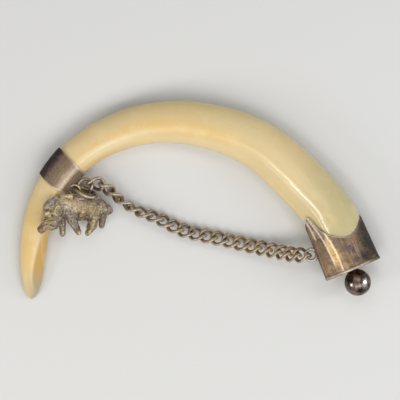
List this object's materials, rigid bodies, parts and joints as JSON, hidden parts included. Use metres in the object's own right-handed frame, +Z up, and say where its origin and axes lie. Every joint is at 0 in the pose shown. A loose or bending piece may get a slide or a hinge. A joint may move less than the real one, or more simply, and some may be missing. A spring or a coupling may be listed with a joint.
{
  "type": "mounted boar tusk",
  "caption": "Curved boar tusk lying on its side, with a scalloped silver cap and ball, a silver band, a curb chain between them and a small cast boar charm.",
  "frame": {"origin": "on the surface it lies on, below the middle of its bounding box", "axes": "+X towards the capped thick end, +Y towards the crown of the tusk's curve, +Z up out of the side that is seen"},
  "size_m": [0.1514, 0.0833, 0.0187],
  "materials": {
    "ivory": "polished cream ivory",
    "tarnished_silver": "brown tarnished silver",
    "dark_ball": "dark polished metal",
    "chain_silver": "worn warm silver",
    "cast_metal": "rough cast metal with patina"
  },
  "bodies": {
    "root": {"tusk": "ivory", "end_cap": "tarnished_silver", "cap_base_plate": "tarnished_silver", "ball_finial": "dark_ball", "cap_loop": "chain_silver", "collar": "tarnished_silver", "collar_loop": "chain_silver", "chain_link_01": "chain_silver", "chain_link_02": "chain_silver", "chain_link_03": "chain_silver", "chain_link_04": "chain_silver", "chain_link_05": "chain_silver", "chain_link_06": "chain_silver", "chain_link_07": "chain_silver", "chain_link_08": "chain_silver", "chain_link_09": "chain_silver", "chain_link_10": "chain_silver", "chain_link_11": "chain_silver", "chain_link_12": "chain_silver", "chain_link_13": "chain_silver", "chain_link_14": "chain_silver", "chain_link_15": "chain_silver", "chain_link_16": "chain_silver", "chain_link_17": "chain_silver", "chain_link_18": "chain_silver", "chain_link_19": "chain_silver", "chain_link_20": "chain_silver", "chain_link_21": "chain_silver", "chain_link_22": "chain_silver", "charm_ring": "chain_silver", "boar_charm": "cast_metal"}
  },
  "joints": []
}
